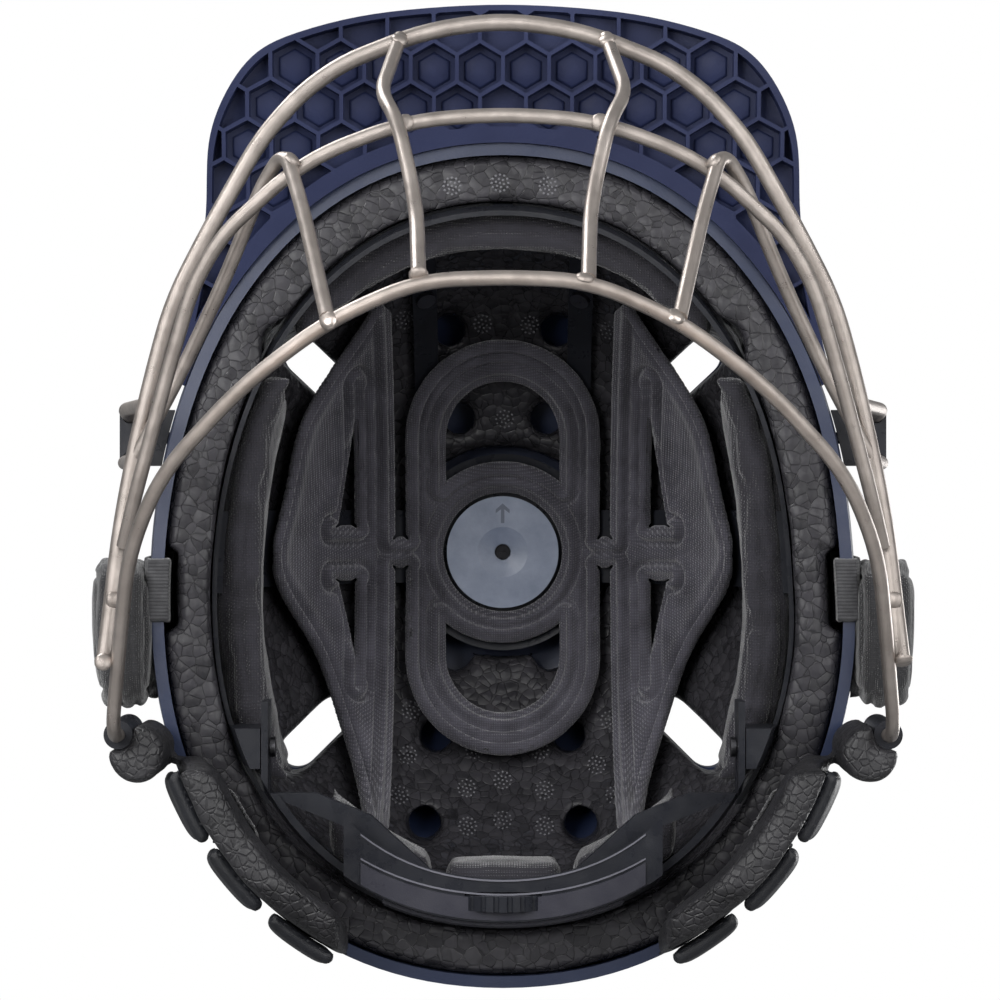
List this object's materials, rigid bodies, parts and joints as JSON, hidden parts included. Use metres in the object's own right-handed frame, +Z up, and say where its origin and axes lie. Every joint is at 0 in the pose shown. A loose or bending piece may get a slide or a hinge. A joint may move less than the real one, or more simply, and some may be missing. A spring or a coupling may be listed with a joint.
{
  "type": "cricket helmet",
  "caption": "Cricket helmet with a ribbed peak, wire face guard, padded head cradle with a rear fit dial, and swinging neck guards.",
  "frame": {"origin": "centre of the bounding box, on the surface that the helmet stands on with its chin bar and neck guards", "axes": "+Z up, the face looks along -Y, +X to the right of the helmet as seen in the picture, from below"},
  "size_m": [0.2503, 0.3033, 0.2519],
  "materials": {
    "shell_navy": "satin",
    "foam_bead": "satin",
    "hub_grey": "satin",
    "black_plastic": "satin",
    "cover_grey": "satin",
    "steel": "satin",
    "titanium": "satin",
    "pad_fabric": "matte",
    "webbing": "matte",
    "guard_foam": "matte",
    "block_rubber": "matte"
  },
  "bodies": {
    "helmet": {"shell": "shell_navy", "peak": "shell_navy", "impact_liner": "foam_bead", "crown_hub": "hub_grey", "crown_boss": "black_plastic", "cradle_frame": "black_plastic", "headband": "black_plastic", "strap_anchor_left": "black_plastic", "strap_anchor_right": "black_plastic", "temple_bracket_left": "black_plastic", "temple_bracket_right": "black_plastic", "hub_screw": "steel", "cradle_rivets": "steel", "headband_rivets": "steel", "arm_pins": "steel", "guard_screws": "steel", "top_bar": "titanium", "middle_bar": "titanium", "bottom_bar": "titanium", "inner_upright_left": "titanium", "inner_upright_right": "titanium", "outer_upright_left": "titanium", "outer_upright_right": "titanium", "mounting_loop_left": "titanium", "mounting_loop_right": "titanium", "comfort_pad": "pad_fabric", "brow_pad": "pad_fabric", "side_pad_left": "pad_fabric", "side_pad_right": "pad_fabric", "strap_sleeve_left": "pad_fabric", "strap_sleeve_right": "pad_fabric", "chin_strap_left": "webbing", "chin_strap_right": "webbing"},
    "rear_fit": {"fit_housing": "black_plastic", "fit_cover": "cover_grey", "nape_yoke": "black_plastic", "nape_pad_centre": "pad_fabric", "rear_arm_left": "black_plastic", "rear_arm_right": "black_plastic", "nape_pad_left": "pad_fabric", "nape_pad_right": "pad_fabric"},
    "dial": {"fit_dial": "black_plastic", "fit_pinion": "black_plastic", "fit_shaft": "steel"},
    "neck_left": {"neck_guard_left": "guard_foam", "neck_clip_left": "black_plastic", "neck_blocks_left": "block_rubber", "hook_strip_left": "webbing"},
    "neck_right": {"neck_guard_right": "guard_foam", "neck_clip_right": "black_plastic", "neck_blocks_right": "block_rubber", "hook_strip_right": "webbing"}
  },
  "joints": [
    {"name": "fit_slide", "type": "slide", "parent": "helmet", "child": "rear_fit", "axis": [0, -0.9135, 0.4067], "range_m": [0, 0.01]},
    {"name": "dial_turn", "type": "hinge", "parent": "rear_fit", "child": "dial", "pos_m": [0, 0.10001, 0.0421], "axis": [0, 0.9135, -0.4067], "range_deg": [0, 270]},
    {"name": "neck_left_swing", "type": "hinge", "parent": "helmet", "child": "neck_left", "pos_m": [-0.1115, 0.04148, 0.03751], "axis": [0, 0.4067, 0.9135], "range_deg": [0, 35]},
    {"name": "neck_right_swing", "type": "hinge", "parent": "helmet", "child": "neck_right", "pos_m": [0.1115, 0.04148, 0.03751], "axis": [0, -0.4067, -0.9135], "range_deg": [0, 35]}
  ],
  "couplings": [
    {"joint": "dial_turn", "follows": "fit_slide", "rad_per_m": 471}
  ]
}
